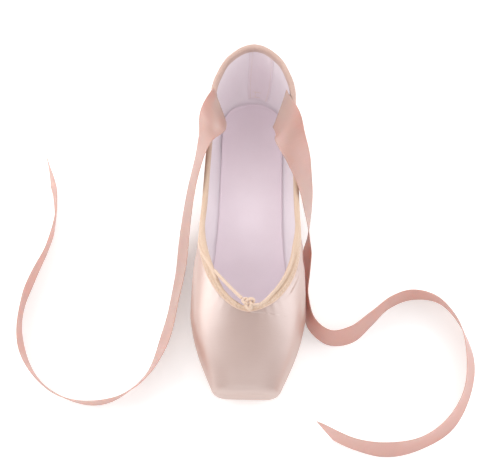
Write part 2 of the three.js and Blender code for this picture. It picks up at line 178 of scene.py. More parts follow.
# ---------------------------------------------------------------- curves
# A wave in a surface is a sine of a way divided by a length, and repeats after 2 pi of that length.
def through(xs, ys, x):
    """Cubic through each known point that never overshoots: the slope at a point is the harmonic
    mean of the slopes on its two sides, and 0 where they differ in sign and at the last point."""
    xs, ys, x = (np.asarray(a, float) for a in (xs, ys, x))
    slopes = np.diff(ys) / np.diff(xs)
    before, after = np.r_[slopes[0], slopes], np.r_[slopes, 0]
    both = before * after
    safe = np.where(both > 0, before + after, 1)
    tangents = np.where(both > 0, 2 * both / safe, 0)
    x = np.clip(x, xs[0], xs[-1])
    i = np.clip(np.searchsorted(xs, x, side="right") - 1, 0, len(slopes) - 1)
    run = xs[i + 1] - xs[i]
    t = (x - xs[i]) / run
    rise = (3 - 2 * t) * t * t
    bend = run * t * (1 - t) * (tangents[i] * (1 - t) - tangents[i + 1] * t)
    return ys[i] + (ys[i + 1] - ys[i]) * rise + bend


def last(name, at):
    """One of the last's measures at any station."""
    return through(LAST["at"], LAST[name], at)


def smooth(x, low, high):
    """0 below low, 1 above high, and an S-shaped rise between them."""
    t = np.clip((np.asarray(x, float) - low) / (high - low), 0, 1)
    return t * t * (3 - 2 * t)


def bump(x, centre, width):
    """A soft ridge of height 1 and the given half-width about a centre."""
    return np.exp(-((np.asarray(x, float) - centre) / width) ** 2)


def rounding(at, start, radius):
    """How far sections draw in as a quarter round of the given radius after a flat end."""
    left = np.clip(radius - (at - start), 0, radius)
    return radius - np.sqrt(radius ** 2 - left ** 2)


def wall_at(at):
    """Thickness of the wall, which thins from the box to the sides just before the box ends."""
    return BOX_WALL + (WALL - BOX_WALL) * smooth(at, BOX_END - BOX_THINNING, BOX_END)


def place(at, out, high):
    """Station, distance from the middle line and height as x, y, z: behind the heel axis the
    sections turn about an upright line there."""
    angle = np.clip((at - HEEL_AXIS) / QUARTER_TURN, 0, 1) * np.pi / 2
    back = np.minimum(at, HEEL_AXIS) + out * np.sin(angle)
    return np.stack(np.broadcast_arrays(out * np.cos(angle), back - LENGTH / 2, high), -1)


def last_point(at, share, inset=0.0):
    """The last's section: flat underneath, a quarter ellipse out to the widest line, and another
    up to the top line.  inset moves the whole section inwards."""
    at, share, inset = np.broadcast_arrays(at, share, inset)
    half, feather = last("half", at) - inset, last("feather", at) - inset
    under, ridge, wide = last("under", at) + inset, last("ridge", at) - inset, last("wide", at)
    flat = share / FEATHER_SHARE
    low = np.clip((share - FEATHER_SHARE) / (WIDEST_SHARE - FEATHER_SHARE), 0, 1) * np.pi / 2
    top = np.clip((share - WIDEST_SHARE) / (1 - WIDEST_SHARE), 0, 1) * np.pi / 2
    out = np.where(share <= FEATHER_SHARE, feather * flat,
                   np.where(share <= WIDEST_SHARE, feather + (half - feather) * np.sin(low),
                            half * np.cos(top)))
    high = np.where(share <= WIDEST_SHARE, wide - (wide - under) * np.cos(low),
                    wide + (ridge - wide) * np.sin(top))
    return place(at, np.where(share >= 1, 0, out), high)


def unit(vectors):
    """The same directions with length 1."""
    return vectors / np.maximum(np.linalg.norm(vectors, axis=-1, keepdims=True), 1e-12)


def slopes_at(at, share):
    """How a place on the last moves with its station and with its share."""
    step, turn = 0.05 * MM, 1e-4
    along = (last_point(at + step, share) - last_point(at - step, share)) / (2 * step)
    up = np.minimum(share + turn, 1)
    round_it = (last_point(at, up) - last_point(at, share - turn)) / (up - share + turn)[..., None]
    return along, round_it


def outward(at, share):
    """Unit normal of the last: across its two slopes."""
    along, round_it = slopes_at(at, share)
    return unit(np.cross(along, round_it))


# ---------------------------------------------------------------- the collar's edge
def collar_share(at):
    """Share of the section where the collar's edge lies: a rounded throat as far as the sides,
    then the collar's height."""
    forward = np.clip((SIDE - at) / (SIDE - THROAT), 0, 1)
    out = OPENING_HALF_WIDTH * (1 - forward ** THROAT_BLUNTNESS) ** THROAT_FULLNESS
    throat = np.arccos(np.clip(out / last("half", at), 0, 1))
    wide, ridge = last("wide", at), last("ridge", at)
    high = through(COLLAR["at"], COLLAR["high"], at)
    side = np.arcsin(np.clip((high - wide) / (ridge - wide), 0, 1))
    share = WIDEST_SHARE + (1 - WIDEST_SHARE) * np.where(at <= SIDE, throat, side) / (np.pi / 2)
    return np.where(at <= THROAT, 1.0, share)


def collar_stations(throat=60, side=60, back=60):
    """Stations of the collar's edge from the throat to the back, close together round the throat."""
    turn = np.arange(throat) / throat * np.pi / 2
    return np.r_[SIDE - (SIDE - THROAT) * np.cos(turn),
                 np.linspace(SIDE, HEEL_AXIS, side, endpoint=False),
                 np.linspace(HEEL_AXIS, LAST_STATION, back + 1)]


# A place in the air above the opening, which the way down the last leads away from.
ABOVE_FOOT = np.array([0, 20, 90]) * MM
WALK_STEPS = 4


def below_collar(stations, down):
    """Stations and shares at given ways down the last from the collar's edge, square to that edge,
    a row for each station and a column for each way, which may differ from row to row: a walk in a
    few steps, each solved from the surface's two slopes."""
    down = np.atleast_2d(down)
    edge_share = collar_share(stations)
    edge = last_point(stations, edge_share)
    run = np.gradient(edge, axis=0)
    run[0] = run[-1] = (1, 0, 0)
    square = unit(np.cross(outward(stations, np.minimum(edge_share, NEARLY_TOP)), run))
    facing = np.sum(square * (edge - ABOVE_FOOT), axis=-1, keepdims=True)
    square = np.where(facing < 0, -square, square)
    square[[0, -1], 0] = 0
    at, share = (np.repeat(v[:, None], down.shape[1], 1) for v in (stations, edge_share))
    for _ in range(WALK_STEPS):
        along, round_it = slopes_at(at, share)
        a, b, c = ((p * q).sum(-1) for p, q in ((along, along), (along, round_it), (round_it, round_it)))
        p, q = ((v * square[:, None]).sum(-1) * down / WALK_STEPS for v in (along, round_it))
        scale = a * c - b * b
        at, share = at + (p * c - q * b) / scale, share + (q * a - p * b) / scale
        share[0], at[-1] = 1, LAST_STATION
    return at, share


def on_middle(points, at, share):
    """The same points, with those of the middle line put back on it."""
    points[..., 0] = np.where((share >= 1) | (share <= 0) | (at >= LAST_STATION), 0, points[..., 0])
    return points


# ---------------------------------------------------------------- meshes
SIDES = {"left": -1, "right": 1}
MERGED_WITHIN = 0.002 * MM
CAP_ROWS = 12


def flipped(points, side):
    """The same points, or their mirror image for the left side."""
    return points * np.array([side, 1, 1])


def quads(rows, columns, around, along):
    """Corner numbers of a grid's faces, joined round its columns or along its rows if asked."""
    i = np.arange(rows if along else rows - 1)
    j = np.arange(columns if around else columns - 1)
    i, j = (a.ravel() for a in np.meshgrid(i, j, indexing="ij"))
    k, m = (i + 1) % rows, (j + 1) % columns
    return np.stack([i * columns + j, k * columns + j, k * columns + m, i * columns + m], -1)


class Piece:
    """Gathers the grids of one piece of the shoe, then makes its mesh."""

    def __init__(self, name, *finishes):
        self.name, self.finishes = name, finishes
        self.points, self.faces, self.cloth, self.slots = [], [], [], []
        self.count = 0

    def grid(self, points, cloth=None, flip=False, slot=0, around=False, along=False):
        """Adds a grid of points; cloth is each point's place on the flat cloth, in metres."""
        rows, columns = points.shape[:2]
        faces = quads(rows, columns, around, along) + self.count
        self.faces.append(faces[:, ::-1] if flip else faces)
        self.points.append(points.reshape(-1, 3))
        self.cloth.append(points[..., :2].reshape(-1, 2) if cloth is None else cloth.reshape(-1, 2))
        self.slots.append(np.full(len(faces), slot))
        self.count += rows * columns
        return self

    def make(self):
        """The piece, with the corners that meet joined."""
        faces = np.concatenate(self.faces)
        mesh = bpy.data.meshes.new(self.name)
        mesh.from_pydata(np.concatenate(self.points), [], faces)
        mesh.polygons.foreach_set("material_index", np.concatenate(self.slots))
        mesh.polygons.foreach_set("use_smooth", np.ones(len(faces), bool))
        layer = mesh.uv_layers.new(name="cloth")
        layer.data.foreach_set("uv", np.concatenate(self.cloth)[faces.ravel()].ravel())
        joined = bmesh.new()
        joined.from_mesh(mesh)
        bmesh.ops.remove_doubles(joined, verts=joined.verts, dist=MERGED_WITHIN)
        joined.to_mesh(mesh)
        joined.free()
        for finish in self.finishes:
            mesh.materials.append(finish)
        piece = bpy.data.objects.new(self.name, mesh)
        bpy.context.scene.collection.objects.link(piece)
        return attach(piece, "root")


def cap(rim, rows, crown=0.0):
    """A face that closes half a section: its rim drawn in, row by row, to the middle of the straight
    edge it is mirrored at, and pushed forwards by the crown there."""
    middle = np.array([0, rim[0, 1], rim[[0, -1], 2].mean()])
    share = np.linspace(0, 1, rows)[:, None, None]
    return middle + (rim - middle) * share - np.array([0, crown, 0]) * (1 - share ** 2)


def lengths(points, axis=0):
    """Way run along each line of points from its start."""
    steps = np.linalg.norm(np.diff(points, axis=axis), axis=-1)
    start = np.zeros_like(np.take(steps, [0], axis=axis))
    return np.cumsum(np.concatenate([start, steps], axis=axis), axis=axis)


def cloth_of(points):
    """Place on the flat cloth: the way along each column, and the way along each row."""
    return np.stack([lengths(points, 0), lengths(points, 1)], -1)


def sampled(values, run, spots):
    """Vectors known along a line, read off at other ways run along it."""
    return np.stack([np.interp(spots, run, column) for column in values.T], -1)


def evenly(points, pitch):
    """Places a pitch apart along a line, the line's direction there, and the way run to each."""
    run = lengths(points)
    spots = np.arange(pitch / 2, run[-1], pitch)
    even, ahead = sampled(points, run, spots), sampled(points, run, spots + pitch / 20)
    return even, unit(ahead - even), spots


def curve_through(points, count):
    """Centripetal Catmull-Rom curve through given points: at each point the tangent weighs the
    chords around it by the square root of their lengths."""
    points = np.asarray(points, float)
    p = np.vstack([2 * points[0] - points[1], points, 2 * points[-1] - points[-2]])
    reach = np.linalg.norm(np.diff(p[:, :3], axis=0), axis=1) ** 0.5
    t = np.linspace(0, len(points) - 1, count)
    i = np.minimum(t.astype(int), len(points) - 2)
    w = (t - i)[:, None]
    a, b, c, d = (p[i + k] for k in range(4))
    u, v, r = (reach[i + k][:, None] for k in range(3))
    start = ((b - a) / u - (c - a) / (u + v) + (c - b) / v) * v
    end = ((c - b) / v - (d - b) / (v + r) + (d - c) / r) * v
    bend = (3 * (c - b) - 2 * start - end) * w ** 2 + (2 * (b - c) + start + end) * w ** 3
    return b + start * w + bend


def tube(centres, normals, radius, sides=12, flat=1.0):
    """A round or flattened section carried along a line; normals point out of its flat side."""
    along = unit(np.gradient(centres, axis=0))
    normals = unit(normals - np.sum(normals * along, -1, keepdims=True) * along)
    across = np.cross(along, normals)
    angle = np.arange(sides) / sides * 2 * np.pi
    radius = np.broadcast_to(radius, len(centres))[:, None, None]
    ring = np.cos(angle)[:, None] * across[:, None] + np.sin(angle)[:, None] * flat * normals[:, None]
    return centres[:, None] + ring * radius


def ends_closed(rings):
    """The same tube with a point added in the middle of each end."""
    first, final = rings[:1].mean(axis=1, keepdims=True), rings[-1:].mean(axis=1, keepdims=True)
    wide = np.ones((1, rings.shape[1], 1))
    return np.concatenate([first * wide, rings, final * wide])


def stitches(name, finish, centres, along, out, long, thick):
    """Many small threads in one mesh, each a long ellipsoid lying along its own direction."""
    rings, sides = 6, 6
    turn = np.linspace(0, np.pi, rings)[:, None]
    spin = np.arange(sides) / sides * 2 * np.pi
    shape = np.stack(np.broadcast_arrays(-np.cos(turn) * long / 2, np.sin(turn) * np.cos(spin) * thick / 2,
                                         np.sin(turn) * np.sin(spin) * thick / 2), -1)
    axes = np.stack([along, unit(np.cross(out, along)), out], 1)
    bodies = centres[:, None, None] + np.einsum("rsk,nkd->nrsd", shape, axes)
    piece = Piece(name, finish)
    count = len(centres)
    faces = quads(rings, sides, True, False)[:, ::-1]
    shift = np.arange(count)[:, None, None] * rings * sides
    piece.faces.append((faces + shift).reshape(-1, 4))
    piece.points.append(bodies.reshape(-1, 3))
    piece.cloth.append(bodies.reshape(-1, 3)[:, :2])
    piece.slots.append(np.zeros(len(faces) * count, int))
    return piece.make()


# ---------------------------------------------------------------- finishes
class Value:
    """A number that varies over a surface: arithmetic on it adds the Math nodes that work it out."""

    def __init__(self, finish, socket):
        self.finish, self.socket = finish, socket

    def math(self, operation, *operands):
        """The Math node that works out an operation on values and numbers."""
        return self.finish.add("ShaderNodeMath", {"operation": operation}, operands)

    def __add__(self, other):
        return self.math("ADD", self, other)

    def __sub__(self, other):
        return self.math("SUBTRACT", self, other)

    def __rsub__(self, other):
        return self.math("SUBTRACT", other, self)

    def __mul__(self, other):
        return self.math("MULTIPLY", self, other)

    __radd__, __rmul__ = __add__, __mul__

    def sine(self):
        return self.math("SINE", self)

    def clamped(self):
        """Held between 0 and 1."""
        return self.math("MINIMUM", self.math("MAXIMUM", self, 0.0), 1.0)


class Finish:
    """A material in the making: a Principled shader with constants on its own sockets."""

    def __init__(self, name, **constants):
        self.material = bpy.data.materials.new(name)
        self.material.use_nodes = True
        self.tree = self.material.node_tree
        self.shader = self.tree.nodes["Principled BSDF"]
        for key, value in constants.items():
            self.shader.inputs[key.replace("_", " ").title().replace("Ior", "IOR")].default_value = value
        self.spot = self.add("ShaderNodeTexCoord", output="Object")
        self.cloth = self.add("ShaderNodeUVMap", {"uv_map": "cloth"})

    def add(self, kind, settings=None, inputs=(), output=0):
        """Adds any node: its settings first, then the values or links of its sockets."""
        node = self.tree.nodes.new(kind)
        for key, value in (settings or {}).items():
            setattr(node, key, value)
        for key, value in inputs.items() if isinstance(inputs, dict) else enumerate(inputs):
            self.feed(node.inputs[key], value)
        return Value(self, node.outputs[output])

    def feed(self, socket, value):
        """Links a value to a socket, or sets the socket to a number."""
        if isinstance(value, Value):
            self.tree.links.new(value.socket, socket)
        else:
            socket.default_value = value

    def split(self, vector):
        """The three parts of a vector."""
        parts = self.add("ShaderNodeSeparateXYZ", inputs=[vector])
        return [Value(self, socket) for socket in parts.socket.node.outputs]

    def joined(self, x, y):
        """A vector from two values, with no height."""
        return self.add("ShaderNodeCombineXYZ", inputs=[x, y, 0.0])

    def noise(self, scale, detail, at=None):
        """Noise of so many patches a metre, over the piece or over a vector of its own."""
        return self.add("ShaderNodeTexNoise", inputs={
            "Vector": at or self.spot, "Scale": scale, "Detail": detail, "Roughness": 0.55})

    def threads(self, coordinate, pitch):
        """A wave from 0 to 1 with the given pitch."""
        return (coordinate * (2 * np.pi / pitch)).sine() * 0.5 + 0.5

    def mixed(self, share, low, high):
        """A colour between two others; the numbers are the colour sockets of the Mix node."""
        return self.add("ShaderNodeMix", {"data_type": "RGBA"}, {0: share, 6: low, 7: high}, output=2)

    def step(self, value, low, high):
        """0 below low, 1 above high, smooth between."""
        return self.add("ShaderNodeMapRange", {"interpolation_type": "SMOOTHSTEP"}, {
            "Value": value, "From Min": low, "From Max": high})

    def made(self, colour, roughness, height, depth):
        """Feeds the shader, with height bumping the surface by depth, and hands the material over."""
        self.feed(self.shader.inputs["Base Color"], colour)
        self.feed(self.shader.inputs["Roughness"], roughness)
        dents = self.add("ShaderNodeBump", inputs={"Strength": 1.0, "Distance": depth, "Height": height})
        self.feed(self.shader.inputs["Normal"], dents)
        return self.material


def colour(*rgb):
    """Linear colour from the three display values, 0 to 255."""
    c = np.array(rgb) / 255
    return (*np.where(c <= 0.04045, c / 12.92, ((c + 0.055) / 1.055) ** 2.4), 1.0)


def satin_finish(name, pale, deep, gloss, ior, through=0.0):
    """Satin: a fine crosswise weave with floating threads and long slubs, glossy with a roughness that
    wanders with its clouds and slubs, and letting some light through, warmer, where it is a single layer."""
    f = Finish(name, metallic=0.06, ior=ior, specular_ior_level=1.0, sheen_weight=0.1, sheen_roughness=0.35,
               subsurface_weight=through, subsurface_radius=(1, 0.48, 0.28), subsurface_scale=2.2 * MM)
    u, v, _ = f.split(f.cloth)
    weft, warp, float_step = 0.42 * MM, 0.5 * MM, 0.2 * MM
    slub = f.noise(1.0, 3.0, f.joined(u * 2600, v * 90))
    cloud = f.noise(22.0, 3.0)
    floats = f.threads(v + f.threads(u, 2 * weft) * float_step, warp)
    weave = f.threads(u, weft) * 0.6 + floats * 0.25
    shade = (cloud * 0.6 + slub * 0.4 - 0.32) * 2.2
    return f.made(f.mixed(shade.clamped(), deep, pale), gloss + cloud * 0.08 + slub * 0.07,
                  weave + slub * 0.8, 0.018 * MM)


def cotton_finish(name, pale, deep, pitch, ribs=0.5, roughness=0.85, depth=0.06, at_heel=None):
    """Cotton: a plain weave whose ribs run across the tape, with uneven thickness and a soft nap,
    dented by so many millimetres, and in another two shades towards the heel if asked."""
    f = Finish(name, specular_ior_level=0.25, sheen_weight=0.35, sheen_roughness=0.6)
    u, v, _ = f.split(f.cloth)
    uneven = f.noise(900.0, 2.0)
    cloud = f.noise(70.0, 3.0)
    weave = f.threads(u, pitch) * ribs + f.threads(v, pitch) * (1 - ribs)
    shade = (cloud * 0.65 + weave * 0.2 + uneven * 0.3 - 0.1).clamped()
    cotton = f.mixed(shade, deep, pale)
    if at_heel:
        _, y, _ = f.split(f.spot)
        towards_heel = f.step(y, 10 * MM, 80 * MM)
        cotton = f.mixed(towards_heel, cotton, f.mixed(shade, *at_heel))
    return f.made(cotton, roughness - cloud * 0.12, weave + uneven * 0.9, depth * MM)


def leather_finish():
    """Buffed sole leather: a short nap, darker blotches and a few fine scratches along the shoe."""
    f = Finish("sole_leather", specular_ior_level=0.3, sheen_weight=0.2)
    x, y, _ = f.split(f.spot)
    nap = f.noise(2200.0, 3.0)
    blotch = f.noise(45.0, 4.0)
    scratch = f.step(f.noise(1.0, 2.0, f.joined(x * 900, y * 25)), 0.62, 0.7)
    shade = blotch * 0.8 + nap * 0.25 - scratch * 0.12
    return f.made(f.mixed(shade.clamped(), colour(158, 124, 98), colour(212, 182, 152)),
                  0.75 + nap * 0.15, nap * 0.7 - scratch, 0.08 * MM)


def floor_finish():
    """A seamless pale floor with the faintest mottle."""
    f = Finish("pale_floor", specular_ior_level=0.1, emission_color=(1, 1, 1, 1), emission_strength=0.28)
    mottle = f.noise(6.0, 2.0)
    return f.made(f.mixed(mottle, colour(252, 251, 250), colour(255, 254, 253)),
                  0.9 + mottle * 0.05, mottle, 0.01 * MM)


SATIN = satin_finish("shoe_satin", colour(188, 154, 141), colour(177, 139, 124), 0.3, 2.25)
RIBBON = satin_finish("ribbon_satin", colour(186, 154, 143), colour(174, 140, 128), 0.42, 1.7, 0.8)
LINING = cotton_finish("lining_cotton", colour(252, 245, 249), colour(245, 235, 241), 0.8 * MM, depth=0.05)
SOCK = cotton_finish("insole_cotton", colour(246, 233, 241), colour(239, 224, 233), 0.7 * MM, depth=0.05)
TAPE = cotton_finish("heel_tape_cotton", colour(251, 240, 245), colour(243, 229, 236), 0.8 * MM, depth=0.08)
HEEL_SHADES = (colour(188, 152, 138), colour(234, 204, 190))
BINDING = cotton_finish("binding_cotton", colour(236, 209, 185), colour(212, 178, 150), 0.9 * MM,
                        ribs=0.75, roughness=0.7, depth=0.2, at_heel=HEEL_SHADES)
PIPING = cotton_finish("piping_cotton", colour(240, 214, 198), colour(226, 194, 176), 0.8 * MM,
                       ribs=0.6, roughness=0.6)
CORD = cotton_finish("drawstring_cotton", colour(244, 222, 204), colour(220, 186, 158), 0.7 * MM,
                     ribs=0.7, roughness=0.75, depth=0.14)
THREAD = cotton_finish("thread", colour(250, 234, 222), colour(236, 214, 200), 0.5 * MM,
                       ribs=0.8, roughness=0.6)
LEATHER = leather_finish()


# ---------------------------------------------------------------- the shoe's own lines
EDGE_STATIONS = collar_stations()
EDGE = last_point(EDGE_STATIONS, collar_share(EDGE_STATIONS))
EDGE_RUN = lengths(EDGE)


def squared_gaps(points, line):
    """Squared distance of every point from every place of a line: p.p + l.l - 2 p.l."""
    return (points ** 2).sum(1)[:, None] + (line ** 2).sum(1) - 2 * points @ line.T


def from_collar(points):
    """Distance from the collar's edge, and how far round that edge from the throat the nearest
    place is: the nearest edge point, refined along the chord through its neighbours."""
    flat = points.reshape(-1, 3)
    k = np.clip(squared_gaps(flat, EDGE).argmin(1), 1, len(EDGE) - 2)
    a, b = EDGE[k - 1], EDGE[k + 1]
    chord = b - a
    t = np.clip(((flat - a) * chord).sum(1) / (chord ** 2).sum(1), 0, 1)
    away = np.linalg.norm(flat - a - chord * t[:, None], axis=1)
    run = EDGE_RUN[k - 1] + t * (EDGE_RUN[k + 1] - EDGE_RUN[k - 1])
    return away.reshape(points.shape[:-1]), run.reshape(points.shape[:-1])


def casing(side, run=EDGE_RUN):
    """How far below the collar's edge the casing starts and ends, all round one side."""
    known = CASING_LEFT if side < 0 else CASING_RIGHT
    return (through(known["run"], known[name], run) for name in ("start", "end"))


def line_on_last(spots, count=60):
    """A smooth line over the last through given stations, in millimetres, and shares, with the
    last's normals along it."""
    spots = np.array(spots, float)
    known = np.arange(len(spots))
    t = np.linspace(0, len(spots) - 1, count)
    at, share = through(known, spots[:, 0] * MM, t), through(known, spots[:, 1], t)
    return last_point(at, share), outward(at, share)


def beside(points, line):
    """Distance of points from a line, and the share of the line's length where it is nearest."""
    flat = points.reshape(-1, 3)
    gaps = squared_gaps(flat, line)
    nearest = gaps.argmin(1)
    away = np.sqrt(np.maximum(gaps[np.arange(len(flat)), nearest], 0))
    return away.reshape(points.shape[:-1]), (nearest / (len(line) - 1)).reshape(points.shape[:-1])


# Soft folds in the satin: the side they are on, where they run, and their half-width and height in
# millimetres, a ridge above 0 and a trough below.
FOLDS = [
    ("right", [(88, 0.60), (96, 0.50), (102, 0.40)], 3.4, -0.55),
    ("right", [(96, 0.62), (105, 0.50), (110, 0.38)], 3.0, 0.4),
    ("right", [(128, 0.56), (131, 0.46), (131, 0.36)], 4.4, -0.6),
    ("right", [(150, 0.52), (156, 0.44), (157, 0.34)], 4.0, -0.45),
    ("right", [(178, 0.50), (172, 0.40), (171, 0.30)], 4.2, -0.5),
    ("left", [(92, 0.60), (99, 0.48), (101, 0.38)], 3.2, -0.5),
    ("left", [(112, 0.58), (118, 0.48), (120, 0.36)], 3.6, 0.4),
    ("left", [(138, 0.54), (142, 0.44), (141, 0.34)], 4.4, -0.6),
    ("left", [(168, 0.50), (164, 0.42), (164, 0.32)], 4.2, -0.5),
    ("left", [(190, 0.48), (183, 0.38), (181, 0.30)], 4.0, 0.35),
]

# The side seam, from the casing down to the sole: stations in millimetres, and shares.
SIDE_SEAM = [(172, 0.53), (176.5, 0.47), (178, 0.41), (176.5, 0.35), (172, 0.28), (166, 0.21)]


def folds(points, side):
    """The listed folds of one side: across each line a bell of its half-width, a quarter as high
    at the line's ends as along its middle."""
    height = np.zeros(points.shape[:-1])
    for which, spots, width, high in FOLDS:
        if SIDES[which] == side:
            line, _ = line_on_last(spots)
            off, where = beside(points, line)
            fade = smooth(where, 0, 0.35) * (1 - smooth(where, 0.65, 1))
            height += high * MM * bump(off, 0, width * MM) * (0.25 + 0.75 * fade)
    return height


def gathers(points, side, run, below):
    """Fine gathers held by the casing: a wave along the collar that wanders and slants, fading down
    the satin and towards the heel.  The two sides differ away from the middle line."""
    swing, depth, reach = 0.74 * MM, 0.13 * MM, 4.5 * MM
    wander = run + 0.9 * MM * np.sin(run / (6.3 * MM)) + 0.25 * below
    apart = side * smooth(points[..., 0], 0, 4 * MM)
    wave = np.sin(wander / swing) * (0.6 + 0.4 * np.sin(run / (9 * MM) + apart))
    front = 1 - 0.75 * smooth(run, 55 * MM, 85 * MM)
    return depth * wave * front * np.exp(-np.clip(below, 0, None) / reach)


def pucker(run, below):
    """One pucker beside the casing, a stretch of the way round the collar: the satin climbs away
    from the casing, then drops into a shallow trough."""
    climb, crest, trough = 0.36, 3.2 * MM, 5.2 * MM
    length = smooth(run, 14 * MM, 26 * MM) * (1 - smooth(run, 50 * MM, 64 * MM))
    rising = climb * smooth(run, 16 * MM, 46 * MM)
    sinking = 0.4 * MM * smooth(run, 26 * MM, 38 * MM)
    ridge = rising * np.clip(below, 0, crest) * (1 - smooth(below, 3 * MM, 5 * MM))
    return length * (ridge - sinking * bump(below, trough, 1.4 * MM))


def seams(points, at, share):
    """Grooves along the side seam and the edge of the sole, and down the back a groove between the
    two soft ridges of the seam's allowance."""
    groove = 0.55 * MM
    line, _ = line_on_last(SIDE_SEAM, 120)
    off, _ = beside(points, line)
    at_side = 0.5 * MM * bump(off, 0, groove)
    middle = np.abs(points[..., 0])
    heel_only = smooth(at, HEEL_AXIS, HEEL_AXIS + 20 * MM)
    at_back = heel_only * MM * (0.22 * bump(middle, 2.2 * MM, 1.3 * MM) - 0.4 * bump(middle, 0, groove))
    tuck = 0.012
    at_sole = 0.4 * MM * bump(share, FEATHER_SHARE - tuck, tuck) * smooth(at, 5 * MM, 16 * MM)
    return at_back - at_side - at_sole


def pleats(points, at, share):
    """Pleats fanned under the toe: arches along the angle about a place in the middle of the sole."""
    fan, spokes, depth = 46 * MM, 13, 0.42 * MM
    under_toe = 1 - smooth(at, 44 * MM, 58 * MM)
    under_foot = 1 - smooth(share, 0.2, 0.29)
    angle = np.arctan2(points[..., 0], points[..., 1] + LENGTH / 2 - fan)
    arches = np.abs(np.sin(angle * spokes + 0.6 * np.sin(angle * 3)))
    return under_toe * under_foot * smooth(at, 2 * MM, 7 * MM) * depth * arches


def satin_relief(points, side, at, share):
    """Height of the satin over the last: folds, gathers, the pucker on the right, seams, pleats."""
    away, run = from_collar(points)
    _, end = casing(side)
    below = away - np.interp(run, EDGE_RUN, end)
    height = folds(points, side) + gathers(points, side, run, below)
    if side == SIDES["right"]:
        height = height + pucker(run, below)
    return height + seams(points, at, share) + pleats(points, at, share)


def upper_rows(side):
    """Stations of the upper's sections and the share where each ends: close together round the toe's
    edge, evenly along the closed vamp up to its top line, then down to the casing all round."""
    corner = TOE_ROUNDING * (1 - np.cos(np.linspace(0, np.pi / 2, 10)))
    vamp = np.linspace(TOE_ROUNDING, VAMP_END, 58)[1:]
    closed = np.r_[corner, np.sort(np.r_[UNDER_OPENING, vamp])]
    _, end = casing(side)
    open_at, open_top = (v[:, 0] for v in below_collar(EDGE_STATIONS, end[:, None] + GAP))
    no_fold = closed[-1] + 0.02 * MM * np.arange(1, len(open_at) + 1)
    open_at = np.maximum.accumulate(np.maximum(open_at, no_fold))
    return np.r_[closed, open_at], np.r_[np.ones_like(closed), open_top], len(closed)


def upper_shares(at, top):
    """Shares across each section: the margin under the foot, up to the widest line, and on to the
    top.  The margin narrows to the middle line in front of the opening under the foot."""
    ahead = np.clip(1 - (at - UNDER_OPENING) / UNDER_ROUNDING, 0, 1)
    open_half = (last("feather", at) - MARGIN) * np.sqrt(1 - ahead ** 2)
    inner = np.where(at <= UNDER_OPENING, 0, FEATHER_SHARE * open_half / last("feather", at))
    middle = np.minimum(WIDEST_SHARE, FEATHER_SHARE + 0.8 * (top - FEATHER_SHARE))

    def between(low, high, count, closing=False):
        share = np.linspace(0, 1, count + 1)[: None if closing else -1]
        return low[:, None] + (high - low)[:, None] * share

    feather = np.full_like(at, FEATHER_SHARE)
    return np.concatenate([
        between(inner, feather, 12), between(feather, middle, 28), between(middle, top, 48, True)], 1)


def make_upper():
    """Satin outside and lining inside, one closed shell with the collar and the sole side open."""
    piece = Piece("satin_upper", SATIN, LINING)
    for side in SIDES.values():
        rows, top, closed = upper_rows(side)
        share = upper_shares(rows, top)
        at = np.repeat(rows[:, None], share.shape[1], 1)
        outside = last_point(at, share, rounding(at, 0, TOE_ROUNDING))
        cloth = np.stack([at, side * lengths(outside, 1)], -1)
        normal = outward(at, np.minimum(share, NEARLY_TOP))
        height = satin_relief(outside, side, at, share)
        outside = on_middle(outside + normal * height[..., None], at, share)
        hollow = rows >= PLATFORM_WALL
        at, share = at[hollow], share[hollow]
        wall = wall_at(at) + rounding(at, PLATFORM_WALL, TOE_ROUNDING)
        ruck = 0.16 * MM * np.sin(at / (4.1 * MM) + 9 * share) * np.sin(at / (13 * MM))
        inside = last_point(at, share, wall) - normal[hollow] * ruck[..., None]
        inside = on_middle(inside, at, share)
        around = outside[hollow]
        open_row = closed - np.count_nonzero(~hollow)
        lip = np.stack([around[open_row:, -1], inside[open_row:, -1]], 1)
        opened = rows[hollow] >= UNDER_OPENING
        margin = np.stack([inside[opened, 0], around[opened, 0]], 1)
        turned = side < 0
        piece.grid(flipped(cap(outside[0], CAP_ROWS, PLATFORM_CROWN), side), flip=turned)
        piece.grid(flipped(outside, side), cloth, flip=turned)
        piece.grid(flipped(inside, side), cloth[hollow], flip=not turned, slot=1)
        piece.grid(flipped(cap(inside[0], CAP_ROWS), side), flip=not turned, slot=1)
        piece.grid(flipped(lip, side), flip=turned)
        piece.grid(flipped(margin, side), flip=turned)
    upper = piece.make()
    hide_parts("upper")
    return upper


SEWN_ABOVE = 1.4 * MM

# The casing's section: how far down from its upper edge, and how far in from the last's surface.
BAND_SECTION = np.array([
    (7, -0.5), (3.5, -0.8), (1.2, -0.7), (0.2, 0.1), (0, 1.1), (0.5, 2.1), (2, 2.7), (4.5, 2.8), (7, 2.5),
]) * MM
BAND_UNDERSIDE = np.array([(7, 1.5), (7, 0.5)]) * MM
GROOVE_DEPTHS = {SIDES["left"]: 0.6 * MM, SIDES["right"]: 1.5 * MM}


